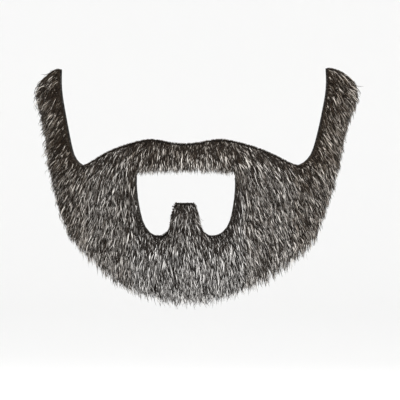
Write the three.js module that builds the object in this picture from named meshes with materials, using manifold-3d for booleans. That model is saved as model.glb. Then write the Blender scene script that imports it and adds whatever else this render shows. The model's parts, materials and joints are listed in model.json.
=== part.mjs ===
// Full short beard with moustache, soul patch and sideburns, cut in one piece from pile fabric
// and worn stuck to the lower face. Millimetres, +Z up. The face looks along -Y, and the wearer's
// left is +X. The origin is on the back of the cloth at the front of the chin, on the centre line.
// The cloth is drawn flat, as a cut pattern, and then wrapped round the form of a face: "girth"
// is the way round the face from the centre line, and "height" is the height above the origin.

import * as THREE from 'three';
import { mergeVertices } from 'three/addons/utils/BufferGeometryUtils.js';
import Module from 'manifold-3d';

const { degToRad, lerp, clamp, smoothstep, seededRandom } = THREE.MathUtils;

// The face form
const FACE_HALF_WIDTH = 85; // of the widest section
const FACE_DEPTH = 129; // chin to the middle of the sections
const FORM_RISE = 96; // height of the highest section
const LIP_PROUD = 4; // how far the lips stand in front of the chin
const CHIN_TUCK = 16; // how far the form turns back below the chin

// The cut pattern of the cloth
const MOUTH_FOOT = 6.8; // origin up to the lowest point of the mouth opening
const MOUTH_HEIGHT = 32.9;
const MOUTH_HALF_WIDTH = 23.9;
const SOUL_PATCH_RISE = 15.9;
const SOUL_PATCH_HALF_WIDTH = 7.2; // at its foot
const MOUSTACHE_BAND = 12.7; // mouth opening up to the moustache's two peaks
const CHEEK_GIRTH = 60; // centre line to the notch under the cheek
const CHEEK_DROP = 11.8; // moustache peaks down to that notch
const SIDEBURN_LEAN = 19; // notch out to the front corner of the sideburn's top
const SIDEBURN_RISE = 47.8; // notch up to the same corner
const SIDEBURN_WIDTH = 25.5;
const SIDEBURN_SLOPE = 8.6; // fall of its top, from the front corner to the end of the rear round
const JAW_GIRTH = 78.3; // centre line to the jaw corner
const JAW_HEIGHT = 10.6; // origin up to the jaw corner
const CHIN_DROP = 19.5; // origin down to the lowest edge

// The two layers of the pile fabric
const CLOTH_THICKNESS = 1.2;
const PILE_CLEARANCE = 0.3; // cloth to the roots of the pile
const PILE_DEPTH = 5.4; // over the open field of the fur
const CUT_EDGE_DEPTH = 2.4; // where the fur lies away from a cut edge
const FRINGE_DEPTH = 2; // at the hanging ends of the fur
const EDGE_RUN = 11; // distance from an edge to the full depth
const FRINGE_LENGTH = 8; // fur past the cloth where it hangs over the edge
const MAT_SHARE = 0.5; // of that length that the close mat fills
const LAY_PER_GIRTH = 0.6; // degrees that the fur leans back for each mm of girth
const LAY_LIMIT = 56; // most lean, in degrees

// Locks that stand out of the mat
const LOCK_LENGTH = 16;
const LOCK_WIDTH = 7.6;
const LOCK_RISE = 1.3;
const LOCK_SINK = 0.7; // of its sides, into the mat
const LOCK_SPACING = 8.8; // across the fur
const LOCK_ROW = 9.2; // down the fur
const FRINGE_SPACING = 6; // along the hanging edges
const ROOT_MARGIN = 0.2; // locks' undersides over the roots of the pile

// Fineness of the meshes
const OUTLINE_STEP = 3.4;
const FIELD_STEP = 6.4;

// Sections of the face form. height: share of FORM_RISE. width: share of FACE_HALF_WIDTH.
// lip: share of LIP_PROUD in front of the chin. tuck: share of CHIN_TUCK behind it.
const FACE_SECTIONS = [
  { height: -0.36, width: 0.77, lip: 0, tuck: 1.15 },
  { height: -0.22, width: 0.8, lip: 0, tuck: 0.56 },
  { height: -0.11, width: 0.825, lip: 0, tuck: 0.17 },
  { height: 0, width: 0.845, lip: 0, tuck: 0 },
  { height: 0.12, width: 0.875, lip: 0.1, tuck: 0 },
  { height: 0.27, width: 0.91, lip: 0.75, tuck: 0 },
  { height: 0.43, width: 0.935, lip: 1, tuck: 0 },
  { height: 0.58, width: 0.955, lip: 0.5, tuck: 0 },
  { height: 0.81, width: 0.99, lip: 0.75, tuck: 0 },
  { height: 1, width: 1, lip: 0.75, tuck: 0 },
];

// Edges of the pattern's +X half, each from its first named corner to its second. The last column
// is the fur that hangs past the cloth there, as a share of FRINGE_LENGTH.
// Moustache top, centre line to notch. out: share of CHEEK_GIRTH. down: share of CHEEK_DROP.
const MOUSTACHE_EDGE = [
  { out: 0, down: 0.19, fringe: 0 },
  { out: 0.1, down: 0.14, fringe: 0 },
  { out: 0.23, down: 0, fringe: 0 },
  { out: 0.32, down: 0.03, fringe: 0 },
  { out: 0.42, down: 0.14, fringe: 0 },
  { out: 0.57, down: 0.34, fringe: 0 },
  { out: 0.73, down: 0.6, fringe: 0 },
  { out: 0.9, down: 0.9, fringe: 0 },
  { out: 1, down: 1, fringe: 0 },
];
// Sideburn front, notch to top. out: share of SIDEBURN_LEAN. up: share of SIDEBURN_RISE.
const SIDEBURN_FRONT = [
  { out: 0, up: 0, fringe: 0 },
  { out: 0.3, up: 0.03, fringe: 0 },
  { out: 0.61, up: 0.11, fringe: 0 },
  { out: 0.76, up: 0.22, fringe: 0 },
  { out: 0.87, up: 0.36, fringe: 0 },
  { out: 0.97, up: 0.56, fringe: 0 },
  { out: 1.04, up: 0.73, fringe: 0 },
  { out: 1.05, up: 0.87, fringe: 0 },
  { out: 1, up: 1, fringe: 0 },
];
// Sideburn top, front to rear. out: share of SIDEBURN_WIDTH. down: share of SIDEBURN_SLOPE.
const SIDEBURN_TOP = [
  { out: 0, down: 0, fringe: 0 },
  { out: 0.3, down: 0.07, fringe: 0 },
  { out: 0.62, down: 0.23, fringe: 0.1 },
  { out: 0.85, down: 0.46, fringe: 0.5 },
  { out: 0.97, down: 0.75, fringe: 0.8 },
  { out: 1, down: 1, fringe: 1 },
];
// Rear edge, sideburn top to jaw corner. in: share of the girth from the sideburn's rear to the
// jaw corner. down: share of the height between them.
const REAR_EDGE = [
  { in: 0, down: 0, fringe: 1 },
  { in: 0.05, down: 0.06, fringe: 1 },
  { in: 0.15, down: 0.18, fringe: 1 },
  { in: 0.26, down: 0.3, fringe: 1 },
  { in: 0.35, down: 0.42, fringe: 1 },
  { in: 0.42, down: 0.55, fringe: 1 },
  { in: 0.54, down: 0.67, fringe: 1 },
  { in: 0.66, down: 0.77, fringe: 1 },
  { in: 0.81, down: 0.89, fringe: 1 },
  { in: 1, down: 1, fringe: 1 },
];
// Lower edge, jaw corner to chin. out: share of JAW_GIRTH. down: share of the way to the chin.
const LOWER_EDGE = [
  { out: 1, down: 0, fringe: 1 },
  { out: 0.88, down: 0.17, fringe: 1 },
  { out: 0.77, down: 0.29, fringe: 1 },
  { out: 0.67, down: 0.42, fringe: 1 },
  { out: 0.59, down: 0.56, fringe: 1 },
  { out: 0.49, down: 0.7, fringe: 1 },
  { out: 0.37, down: 0.82, fringe: 1 },
  { out: 0.24, down: 0.92, fringe: 1 },
  { out: 0.12, down: 0.98, fringe: 1 },
  { out: 0, down: 1, fringe: 1 },
];
// Top of the mouth opening, centre line to corner. out: share of MOUTH_HALF_WIDTH. up: share of
// MOUTH_HEIGHT.
const MOUTH_TOP_EDGE = [
  { out: 0, up: 1, fringe: 0.44 },
  { out: 0.34, up: 0.995, fringe: 0.44 },
  { out: 0.68, up: 0.985, fringe: 0.44 },
  { out: 0.93, up: 0.97, fringe: 0.4 },
];
// Side of the mouth opening, corner round to the foot of the soul patch, in the same shares.
const MOUTH_SIDE = [
  { out: 0.93, up: 0.97, fringe: 0.4 },
  { out: 0.985, up: 0.88, fringe: 0.1 },
  { out: 1, up: 0.78, fringe: 0 },
  { out: 1, up: 0.65, fringe: 0 },
  { out: 0.985, up: 0.5, fringe: 0 },
  { out: 0.96, up: 0.36, fringe: 0 },
  { out: 0.92, up: 0.22, fringe: 0 },
  { out: 0.83, up: 0.1, fringe: 0 },
  { out: 0.7, up: 0.025, fringe: 0 },
  { out: 0.57, up: 0, fringe: 0 },
  { out: 0.45, up: 0.012, fringe: 0 },
  { out: 0.36, up: 0.06, fringe: 0 },
];
// Soul patch side, foot to top centre. out: share of SOUL_PATCH_HALF_WIDTH. up: share of
// SOUL_PATCH_RISE.
const SOUL_PATCH_SIDE = [
  { out: 1.02, up: 0.25, fringe: 0 },
  { out: 0.95, up: 0.45, fringe: 0 },
  { out: 0.87, up: 0.65, fringe: 0 },
  { out: 0.76, up: 0.82, fringe: 0 },
  { out: 0.67, up: 0.95, fringe: 0 },
  { out: 0.56, up: 1, fringe: 0 },
  { out: 0, up: 1, fringe: 0 },
];
// One lock, root to tip. along: share of its length. wide: share of its width. rise: share of the
// ridge's height over the mat.
const LOCK_STATIONS = [
  { along: 0, wide: 0.55, rise: -0.4 },
  { along: 0.32, wide: 1, rise: 0.7 },
  { along: 0.72, wide: 0.78, rise: 1 },
  { along: 1, wide: 0.08, rise: 0.5 },
];

const wasm = await Module();
wasm.setup();

// Interpolates one column of a table of sections along its height column.
function columnCurve(rows, column) {
  const heights = rows.map((row) => row.height * FORM_RISE);
  const values = rows.map((row) => row[column]);
  return new THREE.CubicInterpolant(heights, values, 1);
}
const widthCurve = columnCurve(FACE_SECTIONS, 'width');
const lipCurve = columnCurve(FACE_SECTIONS, 'lip');
const tuckCurve = columnCurve(FACE_SECTIONS, 'tuck');

// Half width of the face form's section at a height, and the y of its front.
function sectionAt(height) {
  const halfWidth = FACE_HALF_WIDTH * widthCurve.evaluate(height)[0];
  const lip = LIP_PROUD * lipCurve.evaluate(height)[0];
  const tuck = CHIN_TUCK * tuckCurve.evaluate(height)[0];
  return { halfWidth, front: tuck - lip };
}

// The section at the middle of the mouth, along which girth is measured.
const mouthSection = sectionAt(MOUTH_FOOT + MOUTH_HEIGHT / 2);
const girthCurve = new THREE.EllipseCurve(
  0, 0, mouthSection.halfWidth, FACE_DEPTH - mouthSection.front, -Math.PI / 2, 0,
);

// Angle round the face, from its front, of a point at some girth.
function turnAt(girth) {
  const quarterTurn = Math.PI / 2;
  return Math.sign(girth) * quarterTurn * girthCurve.getUtoTmapping(0, Math.abs(girth));
}

function formPoint(girth, height) {
  const { halfWidth, front } = sectionAt(height);
  const turn = turnAt(girth);
  const depth = FACE_DEPTH - front;
  return new THREE.Vector3(halfWidth * Math.sin(turn), FACE_DEPTH - depth * Math.cos(turn), height);
}

// Point of the wrapped pattern, lifted off the face form along its outward normal.
function wrap(girth, height, lift) {
  const reach = 0.5;
  const across = formPoint(girth + reach, height).sub(formPoint(girth - reach, height));
  const upward = formPoint(girth, height + reach).sub(formPoint(girth, height - reach));
  const normal = across.cross(upward).normalize();
  return formPoint(girth, height).addScaledVector(normal, lift);
}

// Direction that the fur lies in on the pattern: down at the centre, and down and back at the sides.
function layAt(girth) {
  const lean = Math.min(LAY_PER_GIRTH * Math.abs(girth), LAY_LIMIT);
  const turn = Math.sign(girth) * degToRad(lean);
  return new THREE.Vector2(Math.sin(turn), -Math.cos(turn));
}

// Points of even spacing on a smooth curve through the placed rows of one edge table.
function edgePoints(rows, place) {
  const curve = new THREE.SplineCurve(rows.map((row) => new THREE.Vector2(...place(row))));
  const count = Math.max(2, Math.round(curve.getLength() / OUTLINE_STEP));
  return Array.from({ length: count + 1 }, (_, i) => {
    const t = curve.getUtoTmapping(i / count);
    const along = t * (rows.length - 1);
    const row = Math.min(Math.floor(along), rows.length - 2);
    const { x, y } = curve.getPoint(t);
    return { x, y, fringe: lerp(rows[row].fringe, rows[row + 1].fringe, along - row) };
  });
}

// Closes a half outline by its mirror image. It runs from the centre line back to the centre line,
// and a corner that two of its edges share is kept once.
function mirrored(points) {
  const half = points.filter(({ x, y }, i) => {
    const last = points[i - 1];
    return i === 0 || Math.hypot(x - last.x, y - last.y) > OUTLINE_STEP / 4;
  });
  const other = half.slice(1, -1).reverse().map(({ x, y, fringe }) => ({ x: -x, y, fringe }));
  return [...half, ...other];
}

function clothOutline() {
  const peaks = MOUTH_FOOT + MOUTH_HEIGHT + MOUSTACHE_BAND;
  const notch = { girth: CHEEK_GIRTH, height: peaks - CHEEK_DROP };
  const top = { girth: notch.girth + SIDEBURN_LEAN, height: notch.height + SIDEBURN_RISE };
  const rear = { girth: top.girth + SIDEBURN_WIDTH, height: top.height - SIDEBURN_SLOPE };
  const jaw = { girth: JAW_GIRTH, height: JAW_HEIGHT };
  return mirrored([
    ...edgePoints(MOUSTACHE_EDGE, (row) => [row.out * notch.girth, peaks - row.down * CHEEK_DROP]),
    ...edgePoints(SIDEBURN_FRONT, (row) => [
      notch.girth + row.out * SIDEBURN_LEAN,
      notch.height + row.up * SIDEBURN_RISE,
    ]),
    ...edgePoints(SIDEBURN_TOP, (row) => [
      top.girth + row.out * SIDEBURN_WIDTH,
      top.height - row.down * SIDEBURN_SLOPE,
    ]),
    ...edgePoints(REAR_EDGE, (row) => [
      lerp(rear.girth, jaw.girth, row.in),
      lerp(rear.height, jaw.height, row.down),
    ]),
    ...edgePoints(LOWER_EDGE, (row) => [
      row.out * jaw.girth,
      lerp(jaw.height, -CHIN_DROP, row.down),
    ]),
  ]);
}

function mouthOutline() {
  const placed = (row) => [row.out * MOUTH_HALF_WIDTH, MOUTH_FOOT + row.up * MOUTH_HEIGHT];
  return mirrored([
    ...edgePoints(MOUTH_TOP_EDGE, placed),
    ...edgePoints(MOUTH_SIDE, placed),
    ...edgePoints(SOUL_PATCH_SIDE, (row) => [
      row.out * SOUL_PATCH_HALF_WIDTH,
      MOUTH_FOOT + row.up * SOUL_PATCH_RISE,
    ]),
  ]);
}

// The outline moved along the fur's lay, by a share of the fringe that hangs there.
function hungOutline(outline, share) {
  return outline.map(({ x, y, fringe }) => {
    const moved = new THREE.Vector2(x, y).addScaledVector(layAt(x), share * FRINGE_LENGTH * fringe);
    return { x: moved.x, y: moved.y, fringe };
  });
}

function segments(loops) {
  return loops.flatMap((loop) => loop.map((a, i) => ({ a, b: loop[(i + 1) % loop.length] })));
}

// Nearest outline point: its distance from x, y and the fringe share there.
function nearestEdge(sides, x, y) {
  let best = { distance: Infinity, fringe: 0 };
  for (const { a, b } of sides) {
    const run = (b.x - a.x) ** 2 + (b.y - a.y) ** 2;
    const t = clamp(((x - a.x) * (b.x - a.x) + (y - a.y) * (b.y - a.y)) / run, 0, 1);
    const distance = Math.hypot(lerp(a.x, b.x, t) - x, lerp(a.y, b.y, t) - y);
    if (distance < best.distance) {
      best = { distance, fringe: lerp(a.fringe, b.fringe, t) };
    }
  }
  return best;
}

function isInside(sides, x, y) {
  const crossings = sides.filter(({ a, b }) =>
    (a.y > y) !== (b.y > y) && x < a.x + ((y - a.y) / (b.y - a.y)) * (b.x - a.x));
  return crossings.length % 2 === 1;
}

// Delaunay triangulation, one point at a time, as triples of point numbers.
function triangulate(points) {
  const far = 1e4;
  const all = [...points, { x: -far, y: -far }, { x: far, y: -far }, { x: 0, y: far }];
  const circled = (a, b, c) => {
    const [p, q, r] = [all[a], all[b], all[c]];
    const d = 2 * (p.x * (q.y - r.y) + q.x * (r.y - p.y) + r.x * (p.y - q.y));
    const [pp, qq, rr] = [p, q, r].map((s) => s.x ** 2 + s.y ** 2);
    const x = (pp * (q.y - r.y) + qq * (r.y - p.y) + rr * (p.y - q.y)) / d;
    const y = (pp * (r.x - q.x) + qq * (p.x - r.x) + rr * (q.x - p.x)) / d;
    return { corners: d > 0 ? [a, b, c] : [a, c, b], x, y, reach: (p.x - x) ** 2 + (p.y - y) ** 2 };
  };
  let triangles = [circled(points.length, points.length + 1, points.length + 2)];
  points.forEach((point, index) => {
    const hit = triangles.filter((t) => (point.x - t.x) ** 2 + (point.y - t.y) ** 2 < t.reach);
    const rim = openEdges(hit.map((t) => t.corners));
    triangles = triangles.filter((t) => !hit.includes(t));
    rim.forEach(([from, to]) => triangles.push(circled(from, to, index)));
  });
  return triangles.map((t) => t.corners).filter((corners) => Math.max(...corners) < points.length);
}

// Directed edges that only one of the triangles has.
function openEdges(triangles) {
  const edges = new Map();
  for (const [a, b, c] of triangles) {
    for (const [from, to] of [[a, b], [b, c], [c, a]]) {
      const back = `${to},${from}`;
      if (edges.has(back)) {
        edges.delete(back);
      } else {
        edges.set(`${from},${to}`, [from, to]);
      }
    }
  }
  return [...edges.values()];
}

// The pattern inside its outlines as flat triangles over points of even spacing.
function meshPattern(loops) {
  const sides = segments(loops);
  const points = loops.flat().map(({ x, y }) => ({ x, y }));
  const xs = points.map((point) => point.x);
  const ys = points.map((point) => point.y);
  const rowStep = FIELD_STEP * Math.sqrt(3) / 2;
  const clear = OUTLINE_STEP * 0.75;
  const nudge = 0.01; // keeps any four points off one circle
  for (let row = 0, y = Math.min(...ys); y < Math.max(...ys); row += 1, y += rowStep) {
    const start = Math.ceil(Math.min(...xs) / FIELD_STEP) * FIELD_STEP + (row % 2) * FIELD_STEP / 2;
    for (let x = start; x < Math.max(...xs); x += FIELD_STEP) {
      if (isInside(sides, x, y) && nearestEdge(sides, x, y).distance > clear) {
        points.push({ x: x + nudge * Math.sin(7 * x + y), y: y + nudge * Math.cos(x - 5 * y) });
      }
    }
  }
  const triangles = triangulate(points).filter((corners) => {
    const x = corners.reduce((sum, i) => sum + points[i].x, 0) / 3;
    const y = corners.reduce((sum, i) => sum + points[i].y, 0) / 3;
    return isInside(sides, x, y);
  });
  return { points, triangles };
}

// Closed wall over the wrapped pattern, between two lifts that are functions of the flat place.
function wrappedWall({ points, triangles }, innerLift, outerLift) {
  const inner = points.map(({ x, y }) => wrap(x, y, innerLift(x, y)));
  const outer = points.map(({ x, y }) => wrap(x, y, outerLift(x, y)));
  const count = points.length;
  const faces = triangles.flatMap(([a, b, c]) => [[a, c, b], [a + count, b + count, c + count]]);
  for (const [from, to] of openEdges(triangles)) {
    faces.push([from, to, to + count], [from, to + count, from + count]);
  }
  return indexedGeometry([...inner, ...outer], faces);
}

function indexedGeometry(places, faces) {
  const geometry = new THREE.BufferGeometry();
  const positions = places.flatMap((place) => place.toArray());
  geometry.setAttribute('position', new THREE.Float32BufferAttribute(positions, 3));
  geometry.setIndex(faces.flat());
  return geometry;
}

// One lock: a flat spindle of four-sided sections along the fur's lay, sunk into the mat.
function lockGeometry({ root, length, width, rise }, matTop, matFloor) {
  const floor = matFloor + ROOT_MARGIN;
  const lay = layAt(root.x);
  const across = new THREE.Vector2(-lay.y, lay.x);
  const places = LOCK_STATIONS.flatMap((station) => {
    const middle = root.clone().addScaledVector(lay, station.along * length);
    const half = station.wide * width / 2;
    const left = middle.clone().addScaledVector(across, -half);
    const right = middle.clone().addScaledVector(across, half);
    const sideLift = ({ x, y }) => Math.max(matTop(x, y) - LOCK_SINK, floor + ROOT_MARGIN);
    return [
      wrap(left.x, left.y, sideLift(left)),
      wrap(middle.x, middle.y, matTop(middle.x, middle.y) + station.rise * rise),
      wrap(right.x, right.y, sideLift(right)),
      wrap(middle.x, middle.y, floor),
    ];
  });
  const faces = [[0, 1, 2], [0, 2, 3]];
  for (let i = 0; i < LOCK_STATIONS.length - 1; i += 1) {
    for (let side = 0; side < 4; side += 1) {
      const [a, b] = [4 * i + side, 4 * i + (side + 1) % 4];
      faces.push([a, a + 4, b + 4], [a, b + 4, b]);
    }
  }
  const last = places.length - 4;
  faces.push([last, last + 3, last + 2], [last, last + 2, last + 1]);
  return indexedGeometry(places, faces);
}

// Distance from a place to the outline, down the fur's lay or, with a sense of -1, up it.
function roomAlongLay(sides, { x, y }, sense = 1) {
  const lay = layAt(x).multiplyScalar(sense);
  const crossings = sides.map(({ a, b }) => {
    const edge = { x: b.x - a.x, y: b.y - a.y };
    const gap = { x: a.x - x, y: a.y - y };
    const cross = lay.x * edge.y - lay.y * edge.x;
    const distance = (gap.x * edge.y - gap.y * edge.x) / cross;
    const share = (gap.x * lay.y - gap.y * lay.x) / cross;
    return distance > 0 && share >= 0 && share <= 1 ? distance : Infinity;
  });
  return Math.min(...crossings);
}

function solidOf(geometry) {
  const merged = mergeVertices(geometry, 1e-5);
  return new wasm.Manifold(new wasm.Mesh({
    numProp: 3,
    vertProperties: merged.attributes.position.array,
    triVerts: new Uint32Array(merged.index.array),
  }));
}

function geometryOf(solid) {
  const { vertProperties, triVerts } = solid.getMesh();
  const geometry = new THREE.BufferGeometry();
  geometry.setAttribute('position', new THREE.BufferAttribute(vertProperties, 3));
  geometry.setIndex(new THREE.BufferAttribute(triVerts, 1));
  return geometry;
}

// The thin cloth that the fur grows from, with its back on the face form.
function backingCloth() {
  return wrappedWall(meshPattern([clothOutline(), mouthOutline()]), () => 0, () => CLOTH_THICKNESS);
}

// The fur: a close mat, thin along the edges, with locks standing out of it and hanging over.
function furPile() {
  const cloth = [clothOutline(), mouthOutline()];
  const mat = cloth.map((loop) => hungOutline(loop, MAT_SHARE));
  const matSides = segments(mat);
  const roots = CLOTH_THICKNESS + PILE_CLEARANCE;
  const surface = (x, y) => {
    const { distance, fringe } = nearestEdge(matSides, x, y);
    const inward = isInside(matSides, x, y) ? smoothstep(distance, 0, EDGE_RUN) : 0;
    return roots + lerp(lerp(CUT_EDGE_DEPTH, FRINGE_DEPTH, fringe), PILE_DEPTH, inward);
  };
  const matWall = solidOf(wrappedWall(meshPattern(mat), () => roots, surface));
  seededRandom(7);
  const locks = rootedLocks([...fieldLocks(cloth), ...fringeLocks(cloth)], segments(cloth));
  return geometryOf(locks.reduce(
    (solid, lock) => solid.add(solidOf(lockGeometry(lock, surface, roots))),
    matWall,
  ));
}

// The locks whose roots are on the cloth, narrowed where they stand close to its edge.
function rootedLocks(locks, sides) {
  const onCloth = locks.filter(({ root }) => isInside(sides, root.x, root.y));
  return onCloth.flatMap((lock) => {
    const room = 2 * nearestEdge(sides, lock.root.x, lock.root.y).distance;
    return room > lock.width / 2 ? [{ ...lock, width: Math.min(lock.width, room) }] : [];
  });
}

// A lock of about the usual size, or as much of it as fits in a length.
function lockAt(root, room) {
  return {
    root,
    length: Math.min(LOCK_LENGTH * lerp(0.9, 1.1, seededRandom()), room),
    width: LOCK_WIDTH * lerp(0.85, 1.15, seededRandom()),
    rise: LOCK_RISE * lerp(0.7, 1.3, seededRandom()),
  };
}

// Locks in staggered rows over the cloth, ending short of the cut edges.
function fieldLocks(cloth) {
  const sides = segments(cloth);
  const locks = [];
  const low = Math.min(...cloth[0].map((point) => point.y));
  const high = Math.max(...cloth[0].map((point) => point.y));
  const reach = Math.max(...cloth[0].map((point) => point.x));
  const stray = 0.12;
  for (let row = 0, y = low; y < high; row += 1, y += LOCK_ROW) {
    const shift = (row % 2) * LOCK_SPACING / 2;
    for (let x = -reach + shift; x < reach; x += LOCK_SPACING) {
      const root = new THREE.Vector2(x, y);
      root.x += LOCK_SPACING * lerp(-stray, stray, seededRandom());
      root.y += LOCK_ROW * lerp(-stray, stray, seededRandom());
      locks.push(lockAt(root, roomAlongLay(sides, root)));
    }
  }
  return locks.filter(({ length }) => length > LOCK_LENGTH / 2);
}

// Locks that hang over the fringed edges, from roots within the cloth.
function fringeLocks(cloth) {
  const sides = segments(cloth);
  const locks = [];
  const leastFringe = 0.3;
  const inset = 1; // from the edge onto the cloth, where the room above is measured
  const roomShare = 0.8;
  for (const loop of cloth) {
    let along = 0;
    loop.forEach((point, i) => {
      const next = loop[(i + 1) % loop.length];
      along += Math.hypot(next.x - point.x, next.y - point.y);
      if (along < FRINGE_SPACING || point.fringe < leastFringe) {
        return;
      }
      along = 0;
      const onCloth = new THREE.Vector2(point.x, point.y).addScaledVector(layAt(point.x), -inset);
      const hang = FRINGE_LENGTH * point.fringe * lerp(0.75, 1.1, seededRandom());
      const lock = lockAt(onCloth, hang + roomShare * roomAlongLay(sides, onCloth, -1));
      lock.root.addScaledVector(layAt(point.x), hang + inset - lock.length);
      locks.push(lock);
    });
  }
  return locks;
}

function piece(name, geometry, material) {
  const mesh = new THREE.Mesh(geometry, material);
  mesh.name = name;
  return mesh;
}

const knitBlack = new THREE.MeshStandardMaterial({ color: 0x1c1a19, roughness: 0.95, metalness: 0 });
const pepperGrey = new THREE.MeshStandardMaterial({ color: 0x5a5754, roughness: 0.75, metalness: 0 });

const beard = new THREE.Group();
beard.add(piece('backing_cloth', backingCloth(), knitBlack));
beard.add(piece('fur_pile', furPile(), pepperGrey));

export default beard;
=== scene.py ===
"""Looks of a fake beard with moustache, soul patch and sideburns.

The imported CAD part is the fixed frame. Its cloth solid becomes a knit backing with a tacky back,
and its fur solid is replaced by strands of pile that root on that cloth. Everything is in metres
in the CAD's frame: the face looks along -Y, and the wearer's left is +X.
"""

import json
import logging
import math
from dataclasses import dataclass, field, fields
from enum import Enum

import bpy
import numpy as np
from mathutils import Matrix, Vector
from mathutils.bvhtree import BVHTree
from mathutils.kdtree import KDTree
from mathutils.noise import noise

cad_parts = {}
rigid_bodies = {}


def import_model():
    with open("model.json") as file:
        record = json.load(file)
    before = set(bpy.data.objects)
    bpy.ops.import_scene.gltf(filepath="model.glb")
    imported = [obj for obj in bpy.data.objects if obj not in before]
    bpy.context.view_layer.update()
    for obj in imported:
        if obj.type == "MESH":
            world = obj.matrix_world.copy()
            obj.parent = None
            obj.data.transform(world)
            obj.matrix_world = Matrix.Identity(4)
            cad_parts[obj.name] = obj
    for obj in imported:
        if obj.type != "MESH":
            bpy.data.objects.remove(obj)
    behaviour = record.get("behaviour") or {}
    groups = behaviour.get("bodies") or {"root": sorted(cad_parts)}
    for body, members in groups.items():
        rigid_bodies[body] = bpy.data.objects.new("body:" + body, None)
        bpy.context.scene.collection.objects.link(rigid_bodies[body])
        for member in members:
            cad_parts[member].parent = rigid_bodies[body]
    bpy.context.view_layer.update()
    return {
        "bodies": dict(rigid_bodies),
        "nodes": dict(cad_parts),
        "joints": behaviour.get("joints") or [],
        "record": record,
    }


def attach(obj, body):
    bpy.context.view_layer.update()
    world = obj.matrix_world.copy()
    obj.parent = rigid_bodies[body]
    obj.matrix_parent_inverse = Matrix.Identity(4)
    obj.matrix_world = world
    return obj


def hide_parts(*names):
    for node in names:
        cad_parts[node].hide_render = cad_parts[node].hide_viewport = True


Array = np.ndarray
Colour = tuple[float, float, float]
Span = tuple[float, float]
LOG = logging.getLogger("beard")
MM = 0.001
UP = np.array([0.0, 0.0, 1.0])

# Stands in for nought where something is divided by it.
TINY = 1e-9

# A cut edge is neat where the pile leans towards it by less than this share.
NEAT_LEAN = 0.3

# How soon a strand lies down; the lower, the longer it stands.
LYING_POWER = 1.45

# How far the pile leans out from straight down, in degrees, for girths in millimetres. The wearer's
# left, which is +, was brushed out more near the mouth than the right.
LEAN_BY_GIRTH = (
    (-95, -57), (-80, -44), (-45, -18), (-30, -8), (-15, -2), (0, 2),
    (15, 10), (33, 22), (45, 24), (80, 38), (95, 52),
)


class Zone(Enum):
    """Parts of the fur, each of which is a piece."""

    MOUSTACHE = "moustache_fur"
    SOUL_PATCH = "soul_patch_fur"
    CHIN = "chin_fur"
    LEFT_CHEEK = "left_cheek_fur"
    RIGHT_CHEEK = "right_cheek_fur"
    LEFT_JAW = "left_jaw_fur"
    RIGHT_JAW = "right_jaw_fur"
    LEFT_SIDEBURN = "left_sideburn_fur"
    RIGHT_SIDEBURN = "right_sideburn_fur"


# How warm the pile's grey is in each zone, where 0 is neutral and 1 the warmest.
# The warmth is partly the pile's own brownish tint and partly painted warm light reflected from skin.
WARMTH = {
    Zone.MOUSTACHE: 0.5, Zone.SOUL_PATCH: 0.15, Zone.CHIN: 0.05,
    Zone.LEFT_CHEEK: 0.35, Zone.RIGHT_CHEEK: 0.35,
    Zone.LEFT_JAW: 0.6, Zone.RIGHT_JAW: 0.6,
    Zone.LEFT_SIDEBURN: 0.8, Zone.RIGHT_SIDEBURN: 0.8,
}

# Borders of the zones: girths, and heights.
FRONT_END = 27 * MM
CHEEK_END = 54 * MM
SOUL_PATCH_SIDE = 8.2 * MM
SOUL_PATCH_FOOT = 5 * MM
SOUL_PATCH_TOP = 26 * MM
MOUSTACHE_FOOT = 34 * MM
SIDEBURN_FOOT = 43 * MM

# Where strands that pass an edge are in the mouth opening.
MOUTH_SIDE = 26 * MM
MOUTH_FOOT = 12 * MM

# Where the rim squares off the two top corners of the soul patch.
CORNER_SIDE = 8 * MM
CORNER_FOOT = 18 * MM
CORNER_TOP = 26 * MM


def unit(vectors: Array) -> Array:
    """Returns rows of vectors scaled to length one."""
    return vectors / np.linalg.norm(vectors, axis=-1, keepdims=True)


def dot(a: Array, b: Array) -> Array:
    """Returns the scalar products of rows, as a column."""
    return (a * b).sum(-1, keepdims=True)


def turned(ways: Array, normals: Array, angles: Array) -> Array:
    """Returns directions along the cloth, turned about its normals by angles in radians."""
    return np.cos(angles)[:, None] * ways + np.sin(angles)[:, None] * np.cross(normals, ways)


def smooth_ramp(values: Array, start: float, end: float) -> Array:
    """Returns an eased rise from 0 at start to 1 at end, where start may be the higher of the two."""
    share = np.clip((values - start) / (end - start), 0.0, 1.0)
    return share * share * (3.0 - 2.0 * share)


def noise_at(points: Array, grain: float, seed: float) -> Array:
    """Returns smooth noise from about -1 to 1 at some points, in lumps as large as the grain."""
    shift = Vector((seed, -seed, 2.0 * seed))
    return np.array([noise(Vector(p) / grain + shift) for p in points])


def spread(sizes: Array, count: int, rng: np.random.Generator) -> Array:
    """Returns the numbers of items that are picked evenly by their sizes."""
    steps = (np.arange(count) + rng.random(count)) / count
    return np.searchsorted(np.cumsum(sizes) / sizes.sum(), steps)


def tree_of(points: Array) -> KDTree:
    """Sorts points so that the nearest can be looked up.

    Args:
        points: Rows of places.

    Returns:
        The tree.
    """
    tree = KDTree(len(points))
    for index, point in enumerate(points):
        tree.insert(point, index)
    tree.balance()
    return tree


def points_on(paths: Array, rows: Array, steps: Array) -> Array:
    """Places on paths, between their steps.

    Args:
        paths: Paths by steps by xyz.
        rows: The path that each row of steps is on.
        steps: Rows of step numbers, which may be fractions.

    Returns:
        Rows of places by xyz.
    """
    low = np.minimum(steps.astype(int), paths.shape[1] - 2)
    part = (steps - low)[:, :, None]
    rows = rows[:, None]
    return paths[rows, low] * (1.0 - part) + paths[rows, low + 1] * part


def select_only(piece: bpy.types.Object) -> None:
    """Makes a piece the one selected and active object.

    Args:
        piece: The object that the next operators act on.
    """
    bpy.ops.object.select_all(action="DESELECT")
    piece.select_set(True)
    bpy.context.view_layer.objects.active = piece


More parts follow.
